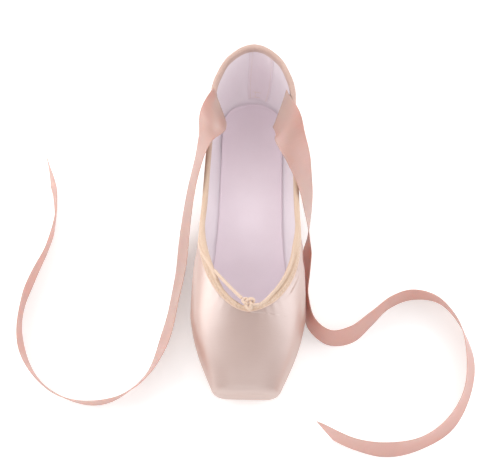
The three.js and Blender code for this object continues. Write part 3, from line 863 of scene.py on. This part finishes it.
def casing_relief(side, run, whole, down, start, end, outer):
    """How far the casing stands proud of its section, by the way round the collar and down it:
    slanting puckers that are deepest at the throat, ribs at the heel, the dents of its sewn line,
    and a groove under the rolled edge.  The two sides differ away from the middle line."""
    front = 1 - smooth(run, 48 * MM, 80 * MM)
    back = smooth(run, 130 * MM, 165 * MM)
    apart = side * smooth(run, 0, 6 * MM) * (1 - smooth(run, whole - 6 * MM, whole))
    slant = run + 0.55 * down + 0.8 * MM * np.sin(run / (5.2 * MM) + apart)
    puckers = np.sin(slant / (0.42 * MM)) * 0.5 + np.sin(slant / (0.93 * MM) + 2 * apart) * 0.5
    ribs = np.sin(run / (0.28 * MM) + 1.2 * np.sin(run / (4.3 * MM) + apart))
    ribs = ribs * (0.6 + 0.4 * np.sin(run / (7 * MM)))
    proud = puckers * MM * (0.05 + 0.2 * front) * (0.35 + 0.65 * outer) + 0.2 * MM * back * ribs
    sewn = bump(end - down, SEWN_ABOVE, 0.5 * MM) * outer
    proud = proud - 0.28 * MM * sewn * (1 + 0.4 * np.sin(run / (0.45 * MM)))
    held = smooth(run, 8 * MM, 18 * MM) * (1 - smooth(run, 44 * MM, 66 * MM))
    groove = held * bump(down, start + 2.6 * MM, 0.5 * MM)
    return proud - GROOVE_DEPTHS[side] * groove * outer


def make_binding():
    """The cotton casing: its section carried round the collar, swelling a little along its middle,
    and more so at the heel."""
    ring = np.vstack([curve_through(BAND_SECTION, 40), BAND_UNDERSIDE])
    across, inset = ring.T
    stations = collar_stations(140, 150, 140)
    way = lengths(last_point(stations, collar_share(stations)))
    run = way[:, None]
    outer = 1 - smooth(inset, -0.4 * MM, 0.9 * MM)
    full = MM * (0.3 + 0.35 * smooth(run, 130 * MM, 165 * MM))
    swell = full * outer * bump(across, 2.6 * MM, 2.2 * MM)
    piece = Piece("collar_binding", BINDING)
    for side in SIDES.values():
        start, end = (v[:, None] for v in casing(side, way))
        down = start + (end - start) * across / BAND
        at, share = below_collar(stations, down)
        proud = casing_relief(side, run, way[-1], down, start, end, outer)
        rings = last_point(at, share, inset - proud - swell)
        rings = on_middle(rings, at, np.where(run > 0, WIDEST_SHARE, 1))
        cloth = np.stack(np.broadcast_arrays(run, lengths(rings, 1)), -1)
        piece.grid(flipped(rings, side), cloth, flip=side < 0, around=True)
    binding = piece.make()
    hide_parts("binding")
    return binding


def collar_line(down, inset):
    """A line round half the collar at a way down from its edge, with the normals of the last there."""
    at, share = (v[:, 0] for v in below_collar(EDGE_STATIONS, down[:, None]))
    points = on_middle(last_point(at, share, inset), at, np.where(EDGE_RUN > 0, WIDEST_SHARE, 1))
    return points, outward(at, np.minimum(share, NEARLY_TOP))


def make_piping():
    """A fine covered cord sewn in where the casing meets the satin."""
    below, proud, radius = 0.15 * MM, 0.25 * MM, 0.38 * MM
    piece = Piece("collar_piping", PIPING)
    for side in SIDES.values():
        _, end = casing(side)
        points, normals = collar_line(end + below, -proud)
        normals[[0, -1], 0] = 0
        rings = tube(points, unit(normals), radius, 10)
        rings[[0, -1], :, 0] = 0
        piece.grid(flipped(rings, side), cloth_of(rings), flip=side < 0, around=True)
    return piece.make()


# The rolled edge of each side: where it comes up and where it has sunk back, by the way round from
# the throat, and its radius.
ROLLED_EDGES = [
    (SIDES["right"], 0.5 * MM, 62 * MM, 0.95 * MM),
    (SIDES["left"], 27 * MM, 80 * MM, 1.1 * MM),
]


def make_rolled_edge():
    """The casing's inner edge rolled tight over the drawstring, right of the knot and from where
    the string goes in on the left, until it sinks back into the band on each side.  On the left it
    crosses over to the casing's outer edge on its way."""
    piece = Piece("rolled_edge", CORD)
    for side, first, final, thick in ROLLED_EDGES:
        start, end = casing(side)
        crossing = smooth(EDGE_RUN, 34 * MM, 62 * MM) if side < 0 else 0
        edge = 0.6 * MM
        points, normals = collar_line(start + edge + crossing * (end - start - 2 * edge), 0.1 * MM)
        use = (EDGE_RUN > first) & (EDGE_RUN < final)
        run = EDGE_RUN[use]
        sinking = 1 - smooth(run, final - 26 * MM, final)
        rise = smooth(run, first - 4 * MM, first + 5 * MM) * sinking
        centres = points[use] + normals[use] * (1.3 * MM * rise - 0.5 * MM)[:, None]
        radius = thick * (0.35 + 0.65 * np.sqrt(sinking)) * (1 + 0.06 * np.sin(run / (0.7 * MM)))
        rings = ends_closed(tube(centres, normals[use], radius, 14, 0.85))
        piece.grid(flipped(rings, side), cloth_of(rings), flip=side < 0, around=True)
    return piece.make()


def make_binding_stitches():
    """A running line of small stitches just above the casing's lower edge, all round."""
    proud, pitch, long, thick = 0.62 * MM, 2.7 * MM, 1.9 * MM, 0.34 * MM
    for name, side in SIDES.items():
        _, end = casing(side)
        points, normals = collar_line(end - SEWN_ABOVE, -proud)
        spots, along, run = evenly(points, pitch)
        out = sampled(normals, lengths(points), run)
        spots, along, out = (flipped(v, side) for v in (spots, along, out))
        made = stitches(f"binding_stitches_{name}", THREAD, spots, along, unit(out), long, thick)


def make_side_seam_stitches():
    """Two rows of zigzag just behind each side seam, from the casing to the sole: stitches that lean
    to one side of the row and the other in turn."""
    behind_seam, pitch, lean, long, thick = (1.7 * MM, 4.3 * MM), 1.5 * MM, 0.75, 1.6 * MM, 0.42 * MM
    line, normals = line_on_last(SIDE_SEAM, 160)
    rows = []
    for back in behind_seam:
        shifted = line + np.array([0, back, 0]) + normals * 0.02 * MM
        spots, along, run = evenly(shifted, pitch)
        out = unit(sampled(normals, lengths(shifted), run))
        zig = np.where(np.arange(len(spots)) % 2, 1, -1)[:, None] * lean
        rows.append((spots + out * 0.1 * MM, unit(along + zig * np.cross(out, along)), out))
    row = [np.concatenate(column) for column in zip(*rows)]
    for name, side in SIDES.items():
        spots, along, out = (flipped(v, side) for v in row)
        made = stitches(f"side_seam_stitches_{name}", THREAD, spots, along, out, long, thick)


def tongue(at, front, half):
    """Half-width of a tongue-shaped front end, growing as a quarter round over its own depth."""
    ahead = np.clip(1 - (at - front) / TONGUE_DEPTH, 0, 1)
    return half * np.sqrt(1 - ahead ** 2 * 0.85)


def sole_stations(front):
    """Stations of a board's sections, close together at its rounded front end."""
    tip = front + TONGUE_DEPTH * (1 - np.cos(np.linspace(0, np.pi / 2, 16)))
    straight = np.linspace(front + TONGUE_DEPTH, HEEL_AXIS, 110)[1:]
    return np.r_[tip, straight, np.linspace(HEEL_AXIS, LAST_STATION, 50)[1:]]


def lofted(name, finish, at, out, high, relief=0):
    """A closed board from the half-widths and heights of its sections, mirrored about its middle,
    with its front end closed."""
    half = place(at[:, None], out, high + relief)
    half[:, [0, -1], 0] = 0
    half[-1, :, 0] = 0
    piece = Piece(name, finish)
    for side in SIDES.values():
        piece.grid(flipped(half, side), cloth_of(half), flip=side < 0)
        piece.grid(flipped(cap(half[0], 4), side), flip=side < 0)
    return piece.make()


def rounded_corner(radius):
    """How far in from the side and down from the top the places on a quarter round are."""
    turn = np.linspace(0, np.pi / 2, 6)
    return radius * (1 - np.cos(turn)), radius * (1 - np.sin(turn))


def make_insole():
    """The sock board: rounded top edges, a shallow dish for the heel and a soft groove inside its
    edge, with a plug below that fills the opening between the margins."""
    at = sole_stations(INSOLE_FRONT)
    wall = wall_at(at)
    half = tongue(at, INSOLE_FRONT, last("feather", at) - wall)
    seat = last("under", at) + wall + GAP
    before = at - PLUG_SETBACK
    ahead = np.clip(1 - (before - UNDER_OPENING) / UNDER_ROUNDING, 0, 1)
    margin = np.maximum(last("feather", before) - MARGIN, 0) * np.sqrt(1 - ahead ** 2)
    opening = (last("feather", at) - wall) * margin / last("feather", before)
    plug = np.where(before > UNDER_OPENING, np.maximum(opening - GAP, 0), 0)
    low = seat + (last("under", at) - seat) * smooth(plug, 0, 3 * MM)
    corner_in, corner_down = rounded_corner(INSOLE_CORNER)
    inward = np.linspace(0, 1, 22)[1:]
    top = seat + INSOLE_THICKNESS
    below = [0 * at, plug / 2, plug, plug, (plug + half) / 2, half]
    out = np.column_stack([*below, *(half - c for c in corner_in),
                           *((half - INSOLE_CORNER) * (1 - w) for w in inward)])
    high = np.column_stack([low, low, low, seat, seat, seat,
                            *(top - c for c in corner_down), *(top for _ in inward)])
    upside = np.arange(out.shape[1]) > len(below) + len(corner_in)
    dish = -0.35 * MM * bump(out, 0, 14 * MM) * smooth(at, 150 * MM, 200 * MM)[:, None]
    groove = 0.16 * MM * bump(out, half[:, None] - 2.2 * MM, 0.7 * MM)
    insole = lofted("sock_board", SOCK, at, out, high, (dish - groove) * upside)
    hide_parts("insole")
    return insole


def make_outsole():
    """The leather sole: narrower than the shoe, with bevelled edges and a channel cut for its thread."""
    at = sole_stations(SOLE_FRONT)
    half = tongue(at, SOLE_FRONT, through(SOLE["at"], SOLE["half"], at))
    top = last("under", at) - GAP
    bottom = top - SOLE_THICKNESS
    corner_in, corner_up = rounded_corner(SOLE_CORNER)
    inward = np.linspace(0, 1, 40)[:-1]
    out = np.column_stack([*((half - SOLE_CORNER) * w for w in inward), *(half - c for c in corner_in[::-1]),
                           half, half / 2, 0 * at])
    high = np.column_stack([*(bottom for _ in inward), *(bottom + c for c in corner_up[::-1]),
                            top, top, top])
    under = np.arange(out.shape[1]) < len(inward)
    from_edge, width = 4.2 * MM, 0.55 * MM
    channel = 0.5 * MM * bump(out, half[:, None] - from_edge, width) * under
    channel = channel * smooth(at, SOLE_FRONT + 5 * MM, SOLE_FRONT + 8 * MM)[:, None]
    outsole = lofted("leather_outsole", LEATHER, at, out, high, channel)
    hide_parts("outsole")
    return outsole


# The heel tape's two edges, by the way round from the back of the heel, and its foot and its top,
# in shares; then its lines of stitches: way round in millimetres, first and last share, how many.
TAPE_EDGES = (-3 * MM, 13.5 * MM)
TAPE_FOOT, TAPE_TOP = 0.25, 0.548
TAPE_SEAMS = [(-1.2, 0.26, 0.53, 19), (11.7, 0.26, 0.53, 19), (2.5, 0.27, 0.285, 2)]
TAPE_TACKS = (0.262, 0.292)
STITCH_PROUD = 0.6 * MM


def on_lining(round_it, share, proud):
    """Places on the lining by the way round from the back of the heel, to the right above 0."""
    points = last_point(LAST_STATION - np.abs(round_it), share, WALL + proud)
    still = 1 + 0 * points[..., 0]
    return points * np.stack([still * np.sign(round_it), still, still], -1)


def tape_way(way, share):
    """Way round the heel that keeps the tape as wide at its foot, where the heel is narrower."""
    middle = 5.2 * MM
    return middle + (way - middle) * (1.28 - 0.28 * smooth(share, TAPE_FOOT, WIDEST_SHARE))


def stitch_line(places):
    """Stitches at places on the tape, each pointing at the next; the last place is only aimed at."""
    return places[:-1], unit(np.diff(places, axis=0))


def make_heel_tape():
    """The tape over the back seam's allowance, which is turned to the right inside the heel: proud
    of the lining, drawn in along the seams near its two edges and a little pulled between them."""
    first, final = TAPE_EDGES
    way = np.linspace(first, final, 40)[:, None]
    share = np.linspace(TAPE_FOOT, TAPE_TOP, 70)
    edge = smooth(way, first, first + 1 * MM) * (1 - smooth(way, final - 1 * MM, final))
    sewn = bump(way, first + 1.8 * MM, 0.4 * MM) + bump(way, final - 1.8 * MM, 0.4 * MM)
    pulled = 0.05 * np.sin(way / (0.8 * MM)) + 0.06 * np.sin(way / (1.7 * MM) + 9 * share)
    laid = tape_way(way, share)
    face = on_lining(laid, share, MM * (0.62 * edge - 0.16 * sewn + pulled))
    behind = on_lining(laid, share, -0.25 * MM)
    piece = Piece("heel_tape", TAPE)
    piece.grid(face, cloth_of(face)).grid(behind, flip=True)
    for end in (0, -1):
        piece.grid(np.stack([face[:, end], behind[:, end]], 1), flip=end == 0)
        piece.grid(np.stack([face[end], behind[end]]), flip=end == 0)
    piece.make()


def make_heel_tape_stitches():
    """Stitches down the tape's two edges, two between them at its foot, and two rows across it."""
    rows = []
    for way, low, high, count in TAPE_SEAMS:
        spots = np.linspace(low, high, count)
        ahead = spots + 0.002
        spot, aim = (on_lining(tape_way(way * MM, v), v, STITCH_PROUD) for v in (spots, ahead))
        rows.append((spot, unit(aim - spot)))
    across = np.r_[np.linspace(-0.4, 6, 5), 8] * MM
    for share in TAPE_TACKS:
        rows.append(stitch_line(on_lining(across, np.full(len(across), share), STITCH_PROUD)))
    spots, along = (np.concatenate(column) for column in zip(*rows))
    inside_heel = np.array([0, HEEL_AXIS - LENGTH / 2 - 10 * MM, 60 * MM])
    out = unit(inside_heel - spots)
    made = stitches("heel_tape_stitches", THREAD, spots, along, out, 1.6 * MM, 0.36 * MM)


# ---------------------------------------------------------------- cords
# Places across a ribbon from edge to edge, close together at its woven edges.
ACROSS = np.sin(np.linspace(-np.pi / 2, np.pi / 2, 21))
MIDDLE = len(ACROSS) // 2


def cubic(start, leaving, arriving, finish, t):
    """Place on a cubic that leaves its start and meets its finish towards two given places."""
    return ((1 - t) ** 3 * start + 3 * t * (1 - t) ** 2 * leaving + 3 * t ** 2 * (1 - t) * arriving
            + t ** 3 * finish)


def satin_strip(name, middle):
    """A ribbon's two faces and thicker woven edges round its middle surface, closed at both ends."""
    normal = unit(np.cross(np.gradient(middle, axis=0), np.gradient(middle, axis=1)))
    side = np.abs(ACROSS)
    thick = RIBBON_THICKNESS * (1 + 0.5 * smooth(side, 0.9, 0.97)) * np.sqrt(1 - 0.97 * side ** 30)
    front, back = (middle + normal * (s * thick / 2)[..., None] for s in (1, -1))
    way = lengths(middle)[:, MIDDLE, None]
    cloth = np.stack(np.broadcast_arrays(way, np.r_[ACROSS, ACROSS[::-1] + 3] * RIBBON_WIDTH / 2), -1)
    piece = Piece(name, RIBBON).grid(np.concatenate([front, back[:, ::-1]], 1), cloth, around=True)
    for end, turned in ((0, True), (-1, False)):
        piece.grid(np.stack([front[end], back[end]]), flip=turned)
    return piece.make()


# Shares where the sewn part of a ribbon's end starts to rise, and where it ends.
SEWN_SHARES = (WIDEST_SHARE, 0.435)


def make_sewn_end(name, fold, along, side):
    """The ribbon's first centimetres: sewn flat to the lining below the casing, then rising to the
    fold where the ribbon turns out over the collar.  Each thread of it is a cubic that leaves the
    fold downwards and meets the lining from above."""
    at = fold[:, 1] + LENGTH / 2
    inset = WALL + 0.6 * MM
    foot, toe = (flipped(last_point(at, share, inset), side) for share in SEWN_SHARES)
    inward = np.array([-side, 0, 0])
    leaving = fold - along * 1.2 * MM - np.array([0, 0, 2.4 * MM])
    arriving = foot + inward * 2 * MM + np.array([0, 0, 3.5 * MM])
    t = (np.linspace(0.02, 1, 26) ** 1.5)[::-1, None, None]
    rising = cubic(fold, leaving, arriving, foot, t)
    down = np.linspace(0, 1, 14, endpoint=False)[:, None, None]
    strip = satin_strip(name, np.concatenate([toe + (foot - toe) * down, rising]))


def make_ribbon(name, node, route, side, folded, phase):
    """A flat satin strip carried along its route on its own lean, swaying where it lies loose, with
    a soft curl across it, a slanting fold where it turns out of the shoe and a slanting cut end."""
    count = 620
    route = np.array(route, float)
    t = np.linspace(0, len(route) - 1, count)
    centres = curve_through(route[:, :3] * MM, count)
    run = lengths(centres)
    along = unit(np.gradient(centres, axis=0))
    upright = unit(np.array([0, 0, 1]) - along * along[:, 2:])
    sideways = np.cross(along, upright)
    loose = smooth(run, 120 * MM, 170 * MM)
    sway = loose * (2.6 * np.sin(run / (17 * MM) + phase) + 1.8 * np.sin(run / (7.5 * MM) + 2 * phase))
    turn = np.radians(through(np.arange(len(route)), route[:, 3], t) + sway)[:, None]
    across = upright * np.cos(turn) + sideways * np.sin(turn)
    face = np.cross(along, across)
    reach = np.abs(across[:, 2]) * RIBBON_WIDTH / 2 + np.abs(face[:, 2]) * RIBBON_THICKNESS / 2
    off_floor = 0.1 * MM
    centres[:, 2] = np.maximum(centres[:, 2], reach + off_floor)
    curl = 0.55 * MM * (1 - ACROSS ** 2) * (0.4 + 0.6 * np.sin(run / (31 * MM) + phase))[:, None]
    fold = 1 - smooth(run, 0, 40 * MM)
    cut = smooth(run, run[-1] - 30 * MM, run[-1])
    slant = (fold * folded + cut * 7 * MM)[:, None] * ACROSS
    middle = (centres[:, None] + across[:, None] * (ACROSS * RIBBON_WIDTH / 2)[:, None]
              + face[:, None] * curl[..., None] + along[:, None] * slant[..., None])
    make_sewn_end(f"{name}_sewn_end", middle[0], along[0], side)
    ribbon = satin_strip(name, middle)
    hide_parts(node)
    return ribbon


# The knot: the scale of its turn across, along and up, its lean up the vamp in degrees, its cord's
# radius, and from its middle, in millimetres, the short end and the small loop.
KNOT_LOBES = np.array([1.32, 1.18, 1.0]) * MM
KNOT_LEAN = 19
KNOT_CORD = 1.02 * MM
KNOT_ENDS = [
    [(2.2, -1.6, 0.4), (4.0, -1.6, -0.4), (5.6, -0.9, -1.3), (6.8, -0.2, -2.4)],
    [(-1.6, -2.0, 0.9), (-0.6, -4.0, 0.2), (1.0, -4.7, -0.6), (2.3, -3.4, -0.3), (2.0, -1.8, 0.8)],
]


def make_knot():
    """The drawstring's knot: a three-lobed overhand turn (sin t + 2 sin 2t, cos t - 2 cos 2t,
    -sin 3t) lying on the vamp, with the small loop in front and the short end that runs into the
    rolled edge."""
    lo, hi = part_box("drawstring_knot")
    centre = np.array((lo + hi) / 2)
    t = np.linspace(0, 2 * np.pi, 150, endpoint=False)
    lobes = np.stack([np.sin(t) + 2 * np.sin(2 * t), np.cos(t) - 2 * np.cos(2 * t), -np.sin(3 * t)], -1)
    lean = np.radians(KNOT_LEAN)
    tilt = np.array([[1, 0, 0], [0, np.cos(lean), -np.sin(lean)], [0, np.sin(lean), np.cos(lean)]])
    turn = lobes * KNOT_LOBES @ tilt.T + centre
    along = unit(np.roll(turn, -1, axis=0) - np.roll(turn, 1, axis=0))
    side = unit(np.cross(along, tilt[:, 2] + 0 * along))
    up = np.cross(side, along)
    angle = np.linspace(0, 2 * np.pi, 12, endpoint=False)[:, None]
    ribs = (1 + 0.05 * np.sin(t * 38))[:, None, None] * KNOT_CORD
    rings = turn[:, None] + (np.cos(angle) * side[:, None] + np.sin(angle) * up[:, None]) * ribs
    cloth = np.stack(np.broadcast_arrays(t[:, None] * 3.5 * MM, np.linspace(0, 7 * MM, 12)), -1)
    knot = Piece("drawstring_knot_tied", CORD).grid(rings, cloth, around=True, along=True)
    for end in KNOT_ENDS:
        line = curve_through(np.array(end) * MM, 40) + centre
        radius = 0.95 * MM * (1 + 0.05 * np.sin(np.arange(40) * 1.7))
        rings = ends_closed(tube(line, np.array([0, 0, 1]) + 0 * line, radius, 12, 0.8))
        knot.grid(rings, cloth_of(rings), around=True)
    knot = knot.make()
    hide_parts("drawstring_knot")
    return knot


def make_drawstring(knot):
    """The drawstring in its rolled tape, bridging from the knot to where it enters the casing."""
    line = curve_through(np.array(DRAWSTRING_ROUTE) * MM, 80)
    run = lengths(line)
    radius = DRAWSTRING / 2 * (1 + 0.05 * np.sin(run / (0.5 * MM)))
    rings = ends_closed(tube(line, np.array([0.2, 0.2, 1]) + 0 * line, radius, 14, 0.75))
    piece = Piece("drawstring_tape", CORD).grid(rings, cloth_of(rings), around=True)
    string = piece.make()
    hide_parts("drawstring")
    return string


# ---------------------------------------------------------------- studio
LIGHTS_AIM = Vector((0, -20, 30)) * MM
CAMERA_AIM = Vector((0, -7.5, 25)) * MM
CAMERA_HEIGHT, CAMERA_ROLL = np.radians(67), np.radians(1.4)
CAMERA_DISTANCE = 1.0
SENSOR, LENS = 36, 103.7


def softbox(name, spot, wide, tall, watts, tint=(1, 1, 1)):
    """A soft rectangular light aimed at the shoe."""
    light = bpy.data.lights.new(name, "AREA")
    light.shape, light.size, light.size_y, light.energy, light.color = "RECTANGLE", wide, tall, watts, tint
    lamp = bpy.data.objects.new(name, light)
    lamp.location = spot
    lamp.rotation_euler = (LIGHTS_AIM - Vector(spot)).to_track_quat("-Z", "Z").to_euler()
    bpy.context.scene.collection.objects.link(lamp)


def make_studio():
    """A wide pale floor, a strip of light on each side with a warm card below the left one, a large
    light in front and one behind, and an even backdrop."""
    floor = Piece("floor", floor_finish())
    spread = np.linspace(-4, 4, 9)
    x, y = np.meshgrid(spread, spread, indexing="ij")
    floor = floor.grid(np.stack([x, y, 0 * x], -1)).make()
    softbox("left_strip", (-1.0, 0.0, 0.42), 1.5, 0.7, 7.6, (0.985, 0.99, 1))
    softbox("right_strip", (1.0, 0.0, 0.42), 1.5, 0.7, 5.8, (0.98, 0.975, 1))
    softbox("left_card", (-0.75, 0.0, 0.07), 1.2, 0.12, 0.45, (1, 0.6, 0.3))
    softbox("front_fill", (0.0, -1.6, 0.9), 2.6, 1.6, 8.5)
    softbox("back_fill", (0.0, 1.3, 1.1), 1.6, 0.9, 12)
    world = bpy.data.worlds.new("studio")
    world.use_nodes = True
    backdrop = world.node_tree.nodes["Background"]
    backdrop.inputs["Color"].default_value = (0.985, 0.985, 1.0, 1)
    backdrop.inputs["Strength"].default_value = 0.57
    bpy.context.scene.world = world
    bpy.context.scene.view_settings.view_transform = "Standard"


def make_camera():
    """A long lens from in front of the toe, high above the floor and turned a little on its axis."""
    ahead, above = np.cos(CAMERA_HEIGHT), np.sin(CAMERA_HEIGHT)
    back = Vector((0, -ahead, above))
    level, upright = Vector((1, 0, 0)), Vector((0, above, ahead))
    right = np.cos(CAMERA_ROLL) * level + np.sin(CAMERA_ROLL) * upright
    up = np.cos(CAMERA_ROLL) * upright - np.sin(CAMERA_ROLL) * level
    lens = bpy.data.cameras.new("camera")
    lens.sensor_width, lens.lens = SENSOR, LENS
    camera = bpy.data.objects.new("camera", lens)
    turned = Matrix((right, up, back)).transposed().to_4x4()
    camera.matrix_world = Matrix.Translation(CAMERA_AIM + back * CAMERA_DISTANCE) @ turned
    bpy.context.scene.collection.objects.link(camera)
    bpy.context.scene.camera = camera


# ---------------------------------------------------------------- the shoe
make_camera()
make_ribbon("ribbon_left_satin", "ribbon_left", RIBBON_LEFT, -1, 6.8 * MM, 0.4)
make_ribbon("ribbon_right_satin", "ribbon_right", RIBBON_RIGHT, 1, 9.5 * MM, 1.9)
make_drawstring(make_knot())
make_upper()
make_binding()
make_piping()
make_rolled_edge()
make_binding_stitches()
make_side_seam_stitches()
make_insole()
make_outsole()
make_heel_tape()
make_heel_tape_stitches()
make_studio()
